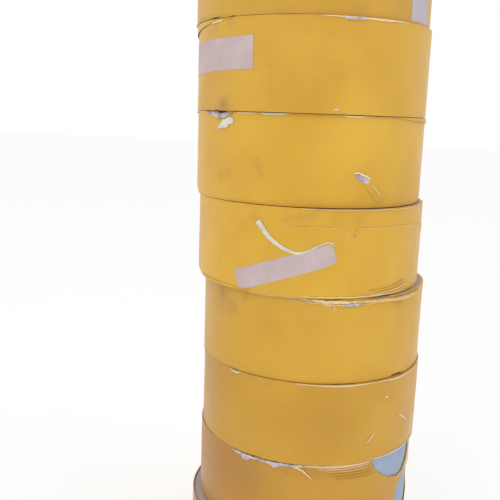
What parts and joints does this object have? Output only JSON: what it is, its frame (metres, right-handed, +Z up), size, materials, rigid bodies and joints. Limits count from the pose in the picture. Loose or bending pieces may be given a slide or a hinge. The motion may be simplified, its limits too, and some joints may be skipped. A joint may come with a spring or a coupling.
{
  "type": "steel safety bollard",
  "caption": "Bolt-down steel-cored safety bollard with a stack of loose cushion rings in yellow film, worn and patched with masking tape, and a screwed steel cap.",
  "frame": {"origin": "middle of the base plate's underside, on the core tube's axis", "axes": "+Z up the core tube; +X along one pair of the plate's edges, to the right in the usual front view; +Y away from that view"},
  "size_m": [0.32, 0.32, 1.047],
  "materials": {
    "bare_steel": "galvanised, dull",
    "weld_metal": "matte",
    "black_plastic": "matte",
    "painted_cap": "satin",
    "screw_steel": "satin",
    "hoop_steel": "rolled, dull",
    "blue_foam": "matte closed-cell foam",
    "yellow_film": "satin vinyl film",
    "masking_tape": "matte creped paper",
    "white_liner": "matte paper"
  },
  "bodies": {
    "post": {"base_plate": "bare_steel", "core_tube": "bare_steel", "foot_weld": "weld_metal", "seat_ring": "black_plastic", "head_ring": "bare_steel", "head_weld": "weld_metal", "cap": "painted_cap", "cap_screws": "screw_steel"},
    "ring_01": {"hoop_01": "hoop_steel", "cushion_01": "blue_foam", "film_01": "yellow_film"},
    "ring_02": {"hoop_02": "hoop_steel", "cushion_02": "blue_foam", "film_02": "yellow_film"},
    "ring_03": {"hoop_03": "hoop_steel", "cushion_03": "blue_foam", "film_03": "yellow_film"},
    "ring_04": {"hoop_04": "hoop_steel", "cushion_04": "blue_foam", "film_04": "yellow_film"},
    "ring_05": {"hoop_05": "hoop_steel", "cushion_05": "blue_foam", "film_05": "yellow_film"},
    "ring_06": {"hoop_06": "hoop_steel", "cushion_06": "blue_foam", "film_06": "yellow_film", "tape_slant": "masking_tape", "liner_strip": "white_liner"},
    "ring_07": {"hoop_07": "hoop_steel", "cushion_07": "blue_foam", "film_07": "yellow_film"},
    "ring_08": {"hoop_08": "hoop_steel", "cushion_08": "blue_foam", "film_08": "yellow_film", "tape_patch": "masking_tape"},
    "ring_09": {"hoop_09": "hoop_steel", "cushion_09": "blue_foam", "film_09": "yellow_film", "tape_strip": "masking_tape"},
    "ring_10": {"hoop_10": "hoop_steel", "cushion_10": "blue_foam", "film_10": "yellow_film"}
  },
  "joints": [
    {"name": "ring_01_turn", "type": "hinge", "parent": "post", "child": "ring_01", "pos_m": [0.005, 0.004, 0.075], "axis": [0, 0, 1], "continuous": true},
    {"name": "ring_02_turn", "type": "hinge", "parent": "post", "child": "ring_02", "pos_m": [-0.0025, -0.005, 0.175], "axis": [0, 0, 1], "continuous": true},
    {"name": "ring_03_turn", "type": "hinge", "parent": "post", "child": "ring_03", "pos_m": [0.0069, 0.002, 0.275], "axis": [0, 0, 1], "continuous": true},
    {"name": "ring_04_turn", "type": "hinge", "parent": "post", "child": "ring_04", "pos_m": [0.0092, -0.001, 0.375], "axis": [0, 0, 1], "continuous": true},
    {"name": "ring_05_turn", "type": "hinge", "parent": "post", "child": "ring_05", "pos_m": [0.0075, 0.001, 0.475], "axis": [0, 0, 1], "continuous": true},
    {"name": "ring_06_turn", "type": "hinge", "parent": "post", "child": "ring_06", "pos_m": [-0.0013, -0.003, 0.575], "axis": [0, 0, 1], "continuous": true},
    {"name": "ring_07_turn", "type": "hinge", "parent": "post", "child": "ring_07", "pos_m": [-0.006, 0.003, 0.675], "axis": [0, 0, 1], "continuous": true},
    {"name": "ring_08_turn", "type": "hinge", "parent": "post", "child": "ring_08", "pos_m": [-0.0065, -0.001, 0.775], "axis": [0, 0, 1], "continuous": true},
    {"name": "ring_09_turn", "type": "hinge", "parent": "post", "child": "ring_09", "pos_m": [-0.0094, 0.001, 0.875], "axis": [0, 0, 1], "continuous": true},
    {"name": "ring_10_turn", "type": "hinge", "parent": "post", "child": "ring_10", "pos_m": [-0.005, -0.004, 0.975], "axis": [0, 0, 1], "continuous": true}
  ]
}
